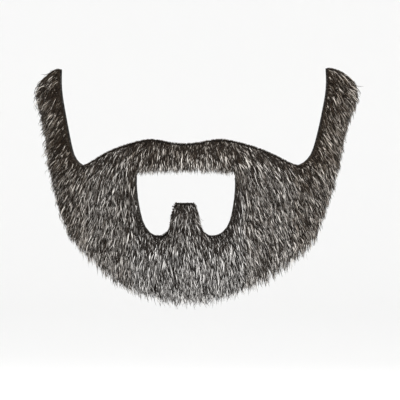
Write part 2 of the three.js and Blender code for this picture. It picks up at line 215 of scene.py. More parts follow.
def add_map(mesh: bpy.types.Mesh, name: str, places: Array) -> None:
    """Adds a UV map that has one place for each point of a mesh.

    Args:
        mesh: The mesh.
        name: The map's name.
        places: Rows of u and v.
    """
    corners = np.zeros(len(mesh.loops), np.int32)
    mesh.loops.foreach_get("vertex_index", corners)
    layer = mesh.uv_layers.new(name=name)
    layer.uv.foreach_set("vector", places[corners].astype(np.float32).ravel())


@dataclass(frozen=True)
class FaceForm:
    """Horizontal section of the face that the cloth is wrapped round, at the mouth."""

    half_width: float = 77 * MM
    depth: float = 132 * MM
    centre_depth: float = 129 * MM
    steps: int = 240

    def girth(self, points: Array) -> Array:
        """Way round the face from the centre line.

        Args:
            points: Rows of places on or near the cloth.

        Returns:
            The signed girth of each point.
        """
        turn = np.arctan2(points[:, 0] / self.half_width, (self.centre_depth - points[:, 1]) / self.depth)
        turns = np.linspace(0.0, math.pi / 2, self.steps)
        speed = np.hypot(self.half_width * np.cos(turns), self.depth * np.sin(turns))
        lengths = np.concatenate([[0.0], np.cumsum((speed[1:] + speed[:-1]) / 2 * np.diff(turns))])
        return np.sign(turn) * np.interp(np.abs(turn), turns, lengths)


class ClothField:
    """Outer side of the cloth: where strands root, which way is out and where its edges are."""

    def __init__(self, mesh: bpy.types.Mesh, form: FaceForm, thickness: float) -> None:
        """Sorts the merged cloth mesh into outer and inner faces.

        Args:
            mesh: The merged cloth.
            form: The face that it is wrapped round.
            thickness: Wall of the cloth.
        """
        self.form = form
        points = np.zeros(len(mesh.vertices) * 3)
        mesh.vertices.foreach_get("co", points)
        points = points.reshape(-1, 3)
        faces = np.array([tuple(p.vertices) for p in mesh.polygons])
        through = self.paired_offsets(points, thickness)
        outward = points - np.array([0.0, form.centre_depth, 0.0])
        outward[:, 2] = 0.0
        is_outer = (through * outward).sum(1) > 0.0
        self.outer_face = is_outer[faces].all(1)
        self.inner_face = (~is_outer[faces]).all(1)
        self.points = points
        self.faces = faces[self.outer_face]
        self.normals = unit(through)
        self.tree = BVHTree.FromPolygons(self.points.tolist(), self.faces.tolist())
        self.edges = self.open_edges()

    @staticmethod
    def paired_offsets(points: Array, thickness: float) -> Array:
        """Offset to each point from its twin on the other side of the wall.

        Args:
            points: The merged cloth's points.
            thickness: Distance between twins.

        Returns:
            One offset for each point.
        """
        tree = tree_of(points)
        reach = 1.3 * thickness
        offsets = np.zeros_like(points)
        for index, point in enumerate(points):
            twin = min(tree.find_range(point, reach), key=lambda found: abs(found[2] - thickness))
            offsets[index] = point - np.array(twin[0])
        return offsets

    def open_edges(self) -> Array:
        """Returns the cut edges of the outer side, as pairs of point numbers."""
        sides = np.concatenate([self.faces[:, [0, 1]], self.faces[:, [1, 2]], self.faces[:, [2, 0]]])
        _, first, counts = np.unique(np.sort(sides, axis=1), axis=0, return_index=True, return_counts=True)
        return sides[first[counts == 1]]

    def sample(self, count: int, rng: np.random.Generator) -> tuple[Array, Array]:
        """Spreads points evenly over the outer side.

        Args:
            count: Number of points.
            rng: Source of chance.

        Returns:
            The points and the cloth's normals there.
        """
        a, b, c = (self.points[self.faces[:, i]] for i in range(3))
        areas = np.linalg.norm(np.cross(b - a, c - a), axis=1)
        chosen = spread(areas, count, rng)
        return self.at(chosen, rng.dirichlet([1.0, 1.0, 1.0], count))

    def at(self, chosen: Array, weights: Array) -> tuple[Array, Array]:
        """Places and normals on chosen faces.

        Args:
            chosen: Face numbers.
            weights: Weights of the three corners.

        Returns:
            Points and unit normals.
        """
        corners = self.faces[chosen]
        points = (self.points[corners] * weights[:, :, None]).sum(1)
        normals = (self.normals[corners] * weights[:, :, None]).sum(1)
        return points, unit(normals)

    def nearest(self, points: Array) -> tuple[Array, Array, Array]:
        """Nearest spots of the outer side.

        Args:
            points: Rows of places near the cloth.

        Returns:
            The spots, the normals there, and each point's sideways offset past the cloth's edge.
        """
        found = [self.tree.find_nearest(p) for p in points.tolist()]
        spots = np.array([f[0] for f in found])
        chosen = np.array([f[2] for f in found])
        a, b, c = (self.points[self.faces[chosen, i]] for i in range(3))
        across = np.cross(b - a, c - a)
        area = (across * across).sum(1)
        weight_b = (np.cross(spots - a, c - a) * across).sum(1) / area
        weight_c = (np.cross(b - a, spots - a) * across).sum(1) / area
        weights = np.clip(np.stack([1.0 - weight_b - weight_c, weight_b, weight_c], 1), 0.0, 1.0)
        _, normals = self.at(chosen, weights)
        offsets = points - spots
        return spots, normals, offsets - dot(offsets, normals) * normals

    def lay(self, points: Array, normals: Array) -> Array:
        """Direction that the pile lies in: down in front, and down and back at the sides.

        Args:
            points: Rows of places on the cloth.
            normals: The normals there.

        Returns:
            Unit directions along the cloth.
        """
        girths, leans = zip(*LEAN_BY_GIRTH)
        turn = np.radians(np.interp(self.form.girth(points) / MM, girths, leans))
        down = -unit(UP - dot(UP[None], normals) * normals)
        side = unit(np.cross(UP, normals))
        return np.cos(turn)[:, None] * down + np.sin(turn)[:, None] * side

    def neat_edges(self) -> tuple[Array, Array, Array, Array]:
        """Finds the cut edges that the pile lies away from or along.

        Returns:
            Their starts, their runs, their outward directions and the normals there.
        """
        start, end = self.points[self.edges[:, 0]], self.points[self.edges[:, 1]]
        normals = unit(self.normals[self.edges[:, 0]] + self.normals[self.edges[:, 1]])
        outward = unit(np.cross(end - start, normals))
        neat = (outward * self.lay((start + end) / 2, normals)).sum(1) < NEAT_LEAN
        return start[neat], (end - start)[neat], outward[neat], normals[neat]

    def cut_distance(self, points: Array) -> Array:
        """Distance to the nearest neat cut edge.

        Args:
            points: Rows of places on the cloth.

        Returns:
            One distance for each point.
        """
        starts, runs, _, _ = self.neat_edges()
        best = np.full(len(points), np.inf)
        for a, ab in zip(starts, runs):
            share = np.clip((points - a) @ ab / (ab @ ab), 0.0, 1.0)
            best = np.minimum(best, np.linalg.norm(points - a - share[:, None] * ab, axis=1))
        return best


@dataclass
class Strands:
    """Many strands as arrays, one row for each."""

    roots: Array
    normals: Array
    ways: Array
    lengths: Array
    rises: Array
    paths: Array | None = None
    tones: Array | None = None
    widths: Array | None = None
    twists: Array | None = None
    starts: Array | None = None
    ends: Array | None = None

    def chosen(self, rows: Array) -> "Strands":
        """Returns the strands of the rows that are true."""
        return Strands(*(getattr(self, column.name)[rows] for column in fields(self)))


@dataclass
class Tufts:
    """Guide strands that gather their neighbours' tips."""

    roots: Array
    swing: Array
    lengths: Array
    paths: Array
    luck: Array

    def nearest(self, points: Array) -> Array:
        """Returns the number of the tuft that is nearest to each point."""
        tree = tree_of(self.roots)
        return np.array([tree.find(point)[1] for point in points])

    def points_at(self, chosen: Array, along: Array) -> Array:
        """Returns places on the chosen guides, at rows of shares of their lengths."""
        steps = np.clip(along, 0.0, 1.0) * (self.paths.shape[1] - 1)
        return points_on(self.paths, chosen, steps)


def joined(parts: list[bpy.types.Object]) -> bpy.types.Object:
    """Joins objects into the first of them.

    Args:
        parts: The objects.

    Returns:
        The first, which now holds them all.
    """
    select_only(parts[0])
    for part in parts[1:]:
        part.select_set(True)
    bpy.ops.object.join()
    return parts[0]


@dataclass(frozen=True)
class StrandMesh:
    """Turns many strand paths into one mesh of closed, three-sided, tapered strands."""

    sides: int = 3
    width_shares: tuple[float, ...] = (0.7, 1.0, 0.95, 0.7)
    bake_name: str = "OFBake"
    bake_margin: float = 0.02
    bake_breadth: float = 1 / 1500

    def build(self, name: str, strands: Strands) -> bpy.types.Object:
        """Makes a mesh object of strands.

        Args:
            name: The object's name.
            strands: The strands.

        Returns:
            The new object, with its place in its mesh.
        """
        paths = strands.paths
        count, stations = paths.shape[:2]
        rings = stations - 1
        along = unit(np.gradient(paths, axis=1))
        across = unit(np.cross(along, strands.normals[:, None, :]))
        upward = np.cross(across, along)
        turns = strands.twists[:, None] + np.arange(self.sides) * 2 * math.pi / self.sides
        spokes = (np.cos(turns)[:, None, :, None] * across[:, :rings, None, :]
                  + np.sin(turns)[:, None, :, None] * upward[:, :rings, None, :])
        known = np.linspace(0.0, 1.0, len(self.width_shares))
        shares = np.interp(np.linspace(0.0, 1.0, rings), known, self.width_shares)
        radii = strands.widths[:, None] / 2 * shares[None]
        tube = paths[:, :rings, None, :] + radii[:, :, None, None] * spokes
        points = np.concatenate([tube.reshape(count, rings * self.sides, 3), paths[:, -1:, :]], axis=1)
        quads, triangles = self.strand_faces(rings)
        stride = rings * self.sides + 1
        starts = (np.arange(count) * stride)[:, None, None]
        mesh = self.mesh_from(name, points.reshape(-1, 3), (quads[None] + starts).reshape(-1, 4),
                              (triangles[None] + starts).reshape(-1, 3))
        self.lay_out_tones(mesh, strands)
        piece = bpy.data.objects.new(name, mesh)
        bpy.context.scene.collection.objects.link(piece)
        select_only(piece)
        bpy.ops.object.shade_smooth()
        return piece

    def strand_faces(self, rings: int) -> tuple[Array, Array]:
        """Faces of one strand.

        Args:
            rings: Number of rings before the tip.

        Returns:
            Its quads and its triangles, as point numbers.
        """
        sides = self.sides
        quads = []
        for low in range(0, (rings - 1) * sides, sides):
            for i in range(sides):
                following = (i + 1) % sides
                quads.append([low + i, low + following, low + sides + following, low + sides + i])
        last, tip = (rings - 1) * sides, rings * sides
        triangles = [[last + i, last + (i + 1) % sides, tip] for i in range(sides)]
        triangles.append([2, 1, 0])
        return np.array(quads), np.array(triangles)

    @staticmethod
    def mesh_from(name: str, points: Array, quads: Array, triangles: Array) -> bpy.types.Mesh:
        """Makes a mesh from arrays.

        Args:
            name: The mesh's name.
            points: Rows of places.
            quads: Rows of four point numbers.
            triangles: Rows of three point numbers.

        Returns:
            The mesh.
        """
        mesh = bpy.data.meshes.new(name)
        corners = np.concatenate([quads.ravel(), triangles.ravel()]).astype(np.int32)
        starts = np.concatenate([np.arange(len(quads)) * 4, quads.size + np.arange(len(triangles)) * 3])
        mesh.vertices.add(len(points))
        mesh.vertices.foreach_set("co", points.astype(np.float32).ravel())
        mesh.loops.add(len(corners))
        mesh.loops.foreach_set("vertex_index", corners)
        mesh.polygons.add(len(starts))
        mesh.polygons.foreach_set("loop_start", starts.astype(np.int32))
        mesh.update(calc_edges=True)
        return mesh

    def lay_out_tones(self, mesh: bpy.types.Mesh, strands: Strands) -> None:
        """Writes each strand's tone and the way along its colouring to a UV map.

        Args:
            mesh: The strands' mesh.
            strands: The strands.
        """
        rings = strands.paths.shape[1] - 1
        room = 1.0 - 2.0 * self.bake_margin
        nudge = (np.arange(self.sides) - 1) * self.bake_breadth
        across = np.concatenate([np.tile(nudge, rings), [0.0]])
        along = np.concatenate([np.repeat(np.arange(rings) / rings, self.sides), [1.0]])
        u = self.bake_margin + room * strands.tones[:, None] + across[None]
        coloured = strands.starts[:, None] * (1.0 - along) + strands.ends[:, None] * along
        v = self.bake_margin + room * coloured
        add_map(mesh, self.bake_name, np.stack([u.ravel(), v.ravel()], axis=1))


class NodeTools:
    """Small helpers for wiring a node tree."""

    def __init__(self, tree: bpy.types.NodeTree) -> None:
        """Keeps the tree that the helpers add to."""
        self.tree = tree

    def wire(self, value: object, socket: bpy.types.NodeSocket) -> None:
        """Links a socket, or sets a plain value.

        Args:
            value: An output socket or a value.
            socket: The input that takes it.
        """
        if isinstance(value, bpy.types.NodeSocket):
            self.tree.links.new(value, socket)
        else:
            socket.default_value = value

    def feed(self, node: bpy.types.Node, inputs: dict[str, object]) -> None:
        """Wires inputs of a node by their names."""
        for name, value in inputs.items():
            self.wire(value, node.inputs[name])

    def add(self, kind: str, inputs: dict[str, object], **settings: object) -> bpy.types.Node:
        """Adds a node.

        Args:
            kind: Its type.
            inputs: What its inputs take, by their names.
            settings: Its other settings.

        Returns:
            The node.
        """
        node = self.tree.nodes.new(kind)
        for name, value in settings.items():
            setattr(node, name, value)
        self.feed(node, inputs)
        return node

    def math(self, operation: str, *values: object) -> bpy.types.NodeSocket:
        """Adds a Math node.

        Args:
            operation: Its operation.
            values: Its inputs.

        Returns:
            Its output.
        """
        node = self.add("ShaderNodeMath", {}, operation=operation)
        for value, socket in zip(values, node.inputs):
            self.wire(value, socket)
        return node.outputs[0]

    def wave(self, value: object, rate: float, middle: float) -> bpy.types.NodeSocket:
        """Returns a sine wave of a value, which swings by a half about its middle."""
        sine = self.math("SINE", self.math("MULTIPLY", value, rate))
        return self.math("MULTIPLY_ADD", sine, 0.5, middle)

    def ramp(self, value: object, start: object, end: object) -> bpy.types.NodeSocket:
        """Returns an eased rise from 0 at start to 1 at end."""
        inputs = {"Value": value, "From Min": start, "From Max": end}
        return self.add("ShaderNodeMapRange", inputs, interpolation_type="SMOOTHSTEP").outputs["Result"]

    def mix(self, share: object, a: object, b: object) -> bpy.types.NodeSocket:
        """Adds a colour Mix node.

        Args:
            share: Weight of b.
            a: First colour.
            b: Second colour.

        Returns:
            Its output.
        """
        node = self.add("ShaderNodeMix", {}, data_type="RGBA")
        colours = [socket for socket in node.inputs if socket.type == "RGBA"]
        self.wire(share, node.inputs[0])
        self.wire(a, colours[0])
        self.wire(b, colours[1])
        return next(socket for socket in node.outputs if socket.type == "RGBA")


class MaterialTools(NodeTools):
    """A new material with its shader, and the helpers for its nodes."""

    def __init__(self, name: str, inputs: dict[str, float]) -> None:
        """Makes the material.

        Args:
            name: Its name.
            inputs: Values of its shader's inputs, by their names.
        """
        self.material = bpy.data.materials.new(name)
        self.material.use_nodes = True
        super().__init__(self.material.node_tree)
        self.shader = self.tree.nodes["Principled BSDF"]
        self.feed(self.shader, inputs)


def new_group(name: str, inputs: dict[str, str], outputs: dict[str, str]) -> NodeTools:
    """Makes a shader group.

    Args:
        name: Its name.
        inputs: Types of its inputs, by their names.
        outputs: Types of its outputs.

    Returns:
        Helpers for its nodes.
    """
    tree = bpy.data.node_groups.new(name, "ShaderNodeTree")
    for side, sockets in (("INPUT", inputs), ("OUTPUT", outputs)):
        for socket, kind in sockets.items():
            tree.interface.new_socket(socket, in_out=side, socket_type="NodeSocket" + kind)
    return NodeTools(tree)


@dataclass(frozen=True)
class PileFinish:
    """Acrylic pile, near black at the root, with a grey to white band further along. The near black at the
    root is painted shade deep in the pile.
    """

    name: str
    warmth: float
    # The root colour, which a strand has outside its pale band, is painted shade deep in the pile near the
    # root; past the band it keeps the pale dashes short.
    root: Colour = (0.0105, 0.0078, 0.0056)
    dark: Colour = (0.029, 0.0215, 0.0163)
    middle: Colour = (0.173, 0.158, 0.145)
    pale: Colour = (0.84, 0.822, 0.8)
    # Share of warming of each colour at full warmth, most in the darks: partly the pile's own tint and
    # partly painted warm reflected light.
    dark_warming: float = 0.25
    middle_warming: float = 0.14
    pale_warming: float = 0.07
    blue_loss: float = 1.3
    band_start: float = 0.32
    band_spread: float = 0.5
    band_length: float = 0.235
    roughness: float = 0.6
    specular: float = 0.15

    def warmed(self, colour: Colour, share: float) -> tuple[float, float, float, float]:
        """Makes a colour warmer, and opaque.

        Args:
            colour: Red, green and blue.
            share: How much more red it has at full warmth.

        Returns:
            Red, green, blue and 1.
        """
        red, green, blue = colour
        more = share * self.warmth
        return (red * (1.0 + more), green, blue * (1.0 - self.blue_loss * more), 1.0)

    def material(self, tone_group: bpy.types.NodeTree) -> bpy.types.Material:
        """Builds the material.

        Args:
            tone_group: The shader group that colours a strand.

        Returns:
            The material.
        """
        tools = MaterialTools(self.name, {"Specular IOR Level": self.specular})
        spot = tools.add("ShaderNodeUVMap", {}, uv_map=StrandMesh.bake_name)
        tone = tools.add("ShaderNodeGroup", {
            "Strand": spot.outputs["UV"],
            "Root": self.warmed(self.root, self.dark_warming),
            "Dark": self.warmed(self.dark, self.dark_warming),
            "Middle": self.warmed(self.middle, self.middle_warming),
            "Pale": self.warmed(self.pale, self.pale_warming),
            "Band Start": self.band_start,
            "Band Spread": self.band_spread,
            "Band Length": self.band_length,
            "Roughness": self.roughness,
        }, node_tree=tone_group)
        tools.feed(tools.shader, {
            "Base Color": tone.outputs["Color"], "Roughness": tone.outputs["Roughness"],
        })
        return tools.material


@dataclass(frozen=True)
class StrandTones:
    """How a strand is coloured by its tone and by the way along it."""

    dark_to_middle: Span = (0.1, 0.55)
    middle_to_pale: Span = (0.5, 0.95)
    start_wave: float = 331.0
    length_wave: float = 211.0
    fade_in: float = 0.08
    fade_out: float = 0.1
    faded: float = 0.78
    band_gloss: float = 0.12

    def group(self) -> bpy.types.NodeTree:
        """Builds the shader group.

        Returns:
            The group, whose Strand input holds the tone in x and the way along in y.
        """
        inputs = {"Strand": "Vector"}
        inputs.update(dict.fromkeys(("Root", "Dark", "Middle", "Pale"), "Color"))
        inputs.update(dict.fromkeys(("Band Start", "Band Spread", "Band Length", "Roughness"), "Float"))
        tools = new_group("strand_tone", inputs, {"Color": "Color", "Roughness": "Float"})
        given = tools.add("NodeGroupInput", {}).outputs
        split = tools.add("ShaderNodeSeparateXYZ", {"Vector": given["Strand"]})
        tone, along = split.outputs[0], split.outputs[1]
        shade = tools.mix(tools.ramp(tone, *self.dark_to_middle), given["Dark"], given["Middle"])
        shade = tools.mix(tools.ramp(tone, *self.middle_to_pale), shade, given["Pale"])
        # Each strand's pale band starts at its own place and has its own length.
        start = tools.math("MULTIPLY_ADD", tools.wave(tone, self.start_wave, 0.5), given["Band Spread"],
                           given["Band Start"])
        length = tools.math("MULTIPLY", tools.wave(tone, self.length_wave, 1.0), given["Band Length"])
        # Before its band a strand has the Root colour, painted shade deep in the pile; past the band it
        # fades back towards that colour, which keeps the pale dashes short.
        into = tools.ramp(along, start, tools.math("ADD", start, self.fade_in))
        past = tools.math("SUBTRACT", along, length)
        out = tools.ramp(past, start, tools.math("ADD", start, self.fade_out))
        kept = tools.math("SUBTRACT", 1.0, tools.math("MULTIPLY", out, self.faded))
        band = tools.math("MULTIPLY", into, kept)
        gloss = tools.math("MULTIPLY", band, self.band_gloss)
        tools.add("NodeGroupOutput", {
            "Color": tools.mix(band, given["Root"], shade),
            "Roughness": tools.math("SUBTRACT", given["Roughness"], gloss),
        })
        return tools.tree


@dataclass(frozen=True)
class Coat:
    """One kind of strand in the pile."""

    count: int
    shortest: float
    longest: float
    rise_low: float
    rise_high: float
    swing: float
    width: float
    stations: int
    pull: float
    paler: float = 0.0
    edge_band: float | None = None
    colour_start: float = 0.0
    colour_end: float = 1.0
    at_sides: bool = False
    rise_power: float = LYING_POWER


# Number, shortest and longest, least and most rise, swing, width, points along and pull to the tufts.
COATS = {
    "long": Coat(20000, 9.5 * MM, 13.5 * MM, 0.75, 1.1, math.radians(8), 0.3 * MM, 5, 0.3),
    "middle": Coat(18000, 5.5 * MM, 9.5 * MM, 0.85, 1.25, math.radians(12), 0.3 * MM, 4, 0.3),
    "edge": Coat(15500, 2.2 * MM, 5.5 * MM, 0.9, 1.7, math.radians(16), 0.3 * MM, 3, 0.2,
                 paler=0.1, edge_band=8 * MM, colour_start=0.35),
    "guard": Coat(500, 11.5 * MM, 13.5 * MM, 0.85, 1.1, math.radians(12), 0.26 * MM, 6, 0.1, paler=0.3),
    "stray": Coat(900, 9.0 * MM, 13.0 * MM, 0.6, 1.0, math.radians(15), 0.24 * MM, 5, 0.0,
                  paler=0.3, colour_start=0.27, colour_end=0.66, at_sides=True, rise_power=0.6),
}


@dataclass(frozen=True)
class Patch:
    """A part of the fur with soft borders, where the pile differs."""

    height: Span
    side: Span
    sign: int = 0
    commoner: float = 0.0
    commoner_right: float = 0.0
    paler: float = 0.0
    further: float = 0.0
    longer: float = 0.0

    def share(self, points: Array) -> Array:
        """Returns how far inside each point is, from 0 to 1."""
        side = points[:, 0] * self.sign if self.sign else np.abs(points[:, 0])
        return smooth_ramp(points[:, 2], *self.height) * smooth_ramp(side, *self.side)


# Where pale strands are commoner or fewer, and paler or darker. On the sideburns and the jaws, which face
# sideways and down, the fewer and darker pale strands are painted shade.
CHIN = Patch((14 * MM, -2 * MM), (38 * MM, 18 * MM), commoner=0.12, paler=0.03)
SIDEBURN = Patch((30 * MM, 52 * MM), (45 * MM, 60 * MM), commoner=-0.12, commoner_right=-0.13, paler=-0.12)
JAW = Patch((44 * MM, 30 * MM), (45 * MM, 58 * MM), commoner=-0.13, commoner_right=-0.1, paler=-0.05)
LIP = Patch((33 * MM, 37 * MM), (31 * MM, 23 * MM), commoner=-0.09, paler=-0.02)
# Where strands hang further past the cloth, and are longer.
RIGHT_JAW = Patch((34 * MM, 10 * MM), (32 * MM, 50 * MM), sign=-1, further=0.65)
LEFT_JAW_FOOT = Patch((15 * MM, 5 * MM), (30 * MM, 42 * MM), sign=1, further=0.7, longer=0.2)


@dataclass
class FurPile:
    """The strands that stand for the fur solid, and how they grow on the cloth."""

    cloth: ClothField
    seed: int = 41
    # How a strand grows and lies down
    grow_steps: int = 8
    root_sink: float = 0.4 * MM
    rise_angle: float = math.radians(58)
    bend: float = math.radians(8)
    touching: float = 0.05 * MM
    least_ahead: float = 0.35
    hang_drop: float = 0.5
    # How far strands pass an edge
    hanging_limit: float = 8.5 * MM
    hanging_least: float = 0.12
    hanging_range: float = 1.5
    hanging_luck: Span = (1.3, 2.0)
    lip_limit: float = 4.2 * MM
    lip_luck: Span = (0.3, 1.1)
    neat_limit: float = 0.35 * MM
    # How high the pile stands by its place
    edge_run: float = 8 * MM
    edge_rise: float = 0.5
    rear: Span = (66 * MM, 96 * MM)
    rear_rise: float = 0.1
    top: Span = (72 * MM, 86 * MM)
    top_rise: float = 0.35
    pressed_girth: Span = (64 * MM, 82 * MM)
    pressed_foot: Span = (4 * MM, 14 * MM)
    pressed_top: Span = (76 * MM, 66 * MM)
    pressed_loss: float = 0.4
    raised_girth: Span = (-66 * MM, -84 * MM)
    raised_gain: float = 0.12
    # Tufts, and how they pull
    tuft_count: int = 5200
    tuft_length: float = 11.5 * MM
    tuft_length_spread: float = 0.08
    tuft_rise_spread: float = 0.1
    tuft_swing: float = math.radians(8)
    tuft_sway: float = 0.12
    tuft_sway_grain: float = 9 * MM
    tuft_luck: float = 0.15
    pull_spread: float = 0.2
    pull_most: float = 0.9
    pull_power: float = 1.5
    # What is looser and warmer towards the sides
    side_girth: Span = (45 * MM, 82 * MM)
    side_pull: float = 0.2
    side_luck: float = 0.2
    side_run: float = 0.2
    least_rise: float = 0.4
    # Choice of spots
    tries: int = 6
    stray_girth: Span = (55 * MM, 80 * MM)
    stray_left: float = 0.75
    stray_right: float = 0.45
    # Tones and widths
    pale_floor: float = 0.42
    palest: float = 0.97
    pale_share: float = 0.705
    pale_luck: Span = (1.8, 1.4)
    dark_luck: Span = (1.3, 2.2)
    chin_skew: float = 0.35
    tone_noise: float = 0.12
    tone_grain: float = 7 * MM
    edge_tone_run: float = 5 * MM
    edge_fewer: float = 0.16
    edge_darker: float = 0.17
    pale_width: float = 1.1
    width_spread: float = 0.15
    # The rim of short dark ends
    rim_count: int = 6000
    rim_shortest: float = 1.1 * MM
    rim_longest: float = 2.6 * MM
    rim_width: float = 0.34 * MM
    rim_inset: float = 0.6 * MM
    rim_limit: float = 0.6 * MM
    rim_rise: Span = (1.1, 2.0)
    rim_lean: Span = (-0.2, 0.9)
    rim_swing: float = 0.4
    rim_luck: Span = (1.2, 2.0)
    rim_clip: float = 0.25
    corner_limit: float = 1.3 * MM
    corner_steadier: float = 0.4
    corner_clip_power: float = 0.3
    rng: np.random.Generator = field(init=False)

    def __post_init__(self) -> None:
        """Starts the fixed source of chance."""
        self.rng = np.random.default_rng(self.seed)

    def profile(self, power: float) -> tuple[Array, Array]:
        """Shape of a lone strand on flat cloth.

        Args:
            power: How soon the strand lies down.

        Returns:
            Shares of its length that it has gone along and away from the cloth, at each growing step.
        """
        fine = 40
        t = np.linspace(0.0, 1.0, self.grow_steps * fine + 1)
        angle = self.rise_angle * (1.0 - t) ** power
        step = 1.0 / (len(t) - 1)
        along = np.concatenate([[0.0], np.cumsum(np.cos(angle[1:])) * step])
        away = np.concatenate([[0.0], np.cumsum(np.sin(angle[1:])) * step])
        return along[::fine], away[::fine]

    def grow(self, strands: Strands, stations: int, clip: Array | None = None,
             power: float = LYING_POWER) -> Array:
        """Lets strands grow along the cloth and past its edges, and trims them there.

        Args:
            strands: Their roots, normals, ways, lengths and rises.
            stations: Points along each finished strand.
            clip: How far each may pass any edge, where all are clipped close.
            power: How soon they lie down.

        Returns:
            Strands by stations by xyz, with trimmed strands shortened.
        """
        along, away = self.profile(power)
        count = len(strands.roots)
        base, up, way = strands.roots.copy(), strands.normals.copy(), strands.ways.copy()
        paths = [base - up * self.root_sink]
        gone, neat = np.zeros(count), np.zeros(count, bool)
        excess = np.zeros((count, self.grow_steps + 1))
        limits = self.hanging_limits(strands.roots)
        lip_limits = self.lip_limit * self.rng.uniform(*self.lip_luck, count)
        bends = self.rng.normal(0.0, self.bend, count) / self.grow_steps
        close_limits = self.neat_limit if clip is None else clip
        for step in range(1, self.grow_steps + 1):
            run = strands.lengths * (along[step] - along[step - 1])
            guess = base + way * run[:, None]
            spots, ups, offsets = self.cloth.nearest(guess)
            gap = np.linalg.norm(offsets, axis=1)
            inside = gap < self.touching
            leaving = ~inside & (gone == 0.0)
            ahead = (offsets * way).sum(1) / np.maximum(gap, TINY)
            neat = np.where(leaving, (ahead < self.least_ahead) | (clip is not None), neat)
            in_mouth = (np.abs(guess[:, 0]) < MOUTH_SIDE) & (guess[:, 2] > MOUTH_FOOT)
            limits = np.where(leaving & in_mouth, lip_limits, limits)
            passed = np.where(leaving, gap / np.maximum(ahead, self.least_ahead), gone + run)
            gone = np.where(inside, 0.0, passed)
            excess[:, step] = np.where(neat, gap / close_limits, gone / limits)
            base = np.where(inside[:, None], spots, guess)
            up = np.where(inside[:, None], ups, up)
            way = turned(unit(way - dot(way, up) * up), up, bends)
            hang = 1.0 - self.hang_drop * np.minimum(gone / self.hanging_limit, 1.0)
            height = strands.lengths * strands.rises * away[step] * hang
            paths.append(base + up * height[:, None])
        return self.trimmed(np.stack(paths, 1), excess, stations)

    def hanging_limits(self, roots: Array) -> Array:
        """How far strands may hang past the cloth where they lie towards its edge.

        Args:
            roots: Their roots.

        Returns:
            One limit for each: most are short, a few are long, and the jaws' reach further.
        """
        luck = self.rng.beta(*self.hanging_luck, len(roots))
        limits = self.hanging_limit * (self.hanging_least + self.hanging_range * luck)
        further = sum(patch.further * patch.share(roots) for patch in (RIGHT_JAW, LEFT_JAW_FOOT))
        return limits * (1.0 + further)

    @staticmethod
    def trimmed(paths: Array, excess: Array, stations: int) -> Array:
        """Shortens the strands that pass the cloth's edge by more than their limit.

        Args:
            paths: Strands by growing steps by xyz.
            excess: How far past the edge each step is, as a share of the strand's limit.
            stations: Points along each finished strand.

        Returns:
            Strands by stations by xyz.
        """
        last = paths.shape[1] - 1
        over = excess > 1.0
        first = np.where(over.any(1), over.argmax(1), last)
        rows = np.arange(len(paths))
        before = np.maximum(first - 1, 0)
        rise = excess[rows, first] - excess[rows, before]
        share = np.clip((1.0 - excess[rows, before]) / np.maximum(rise, TINY), 0.0, 1.0)
        ends = np.where(over.any(1), before + share, float(last))
        return points_on(paths, rows, ends[:, None] * np.linspace(0.0, 1.0, stations)[None])

    def tones(self, points: Array, cut: Array, luck: Array, paler: float) -> tuple[Array, Array]:
        """Picks which strands are pale, and how pale, by their places.

        Args:
            points: Roots.
            cut: Their distances to the nearest neat cut edge.
            luck: Chance of each strand, from 0 to 1.
            paler: How much commoner pale strands are in this coat.

        Returns:
            The tones, from 0 for the darkest to 1 for the palest, and which strands are pale.
        """
        near_edge = 1.0 - smooth_ramp(cut, 0.0, self.edge_tone_run)
        right = points[:, 0] < 0.0
        share = self.pale_share - self.edge_fewer * near_edge + paler
        share += self.tone_noise * noise_at(points, self.tone_grain, 3.0)
        palest = self.palest - self.edge_darker * near_edge * (1.0 - SIDEBURN.share(points))
        # On the sideburns and the jaws these patches darken the pile as painted shade.
        for patch in (CHIN, SIDEBURN, JAW, LIP):
            there = patch.share(points)
            share += there * (patch.commoner + patch.commoner_right * right)
            palest += there * patch.paler
        is_pale = luck < share
        skew = 1.0 - self.chin_skew * CHIN.share(points)
        pale_luck = self.rng.beta(*self.pale_luck, len(points)) ** skew
        pale = self.pale_floor + (palest - self.pale_floor) * pale_luck
        dark = self.pale_floor * self.rng.beta(*self.dark_luck, len(points))
        return np.where(is_pale, pale, dark), is_pale

    def make_tufts(self) -> Tufts:
        """Grows the guide strands that the others gather to.

        Returns:
            The tufts.
        """
        rng, count = self.rng, self.tuft_count
        roots, normals = self.cloth.sample(count, rng)
        swing = rng.normal(0.0, self.tuft_swing, count)
        swing += self.tuft_sway * noise_at(roots, self.tuft_sway_grain, 8.0)
        ways = turned(self.cloth.lay(roots, normals), normals, swing)
        lengths = self.tuft_length * rng.normal(1.0, self.tuft_length_spread, count)
        rises = self.rise_at(roots) * rng.normal(1.0, self.tuft_rise_spread, count)
        full = self.grow(Strands(roots, normals, ways, lengths, rises), self.grow_steps + 1)
        return Tufts(roots, swing, lengths, full, rng.random(count))

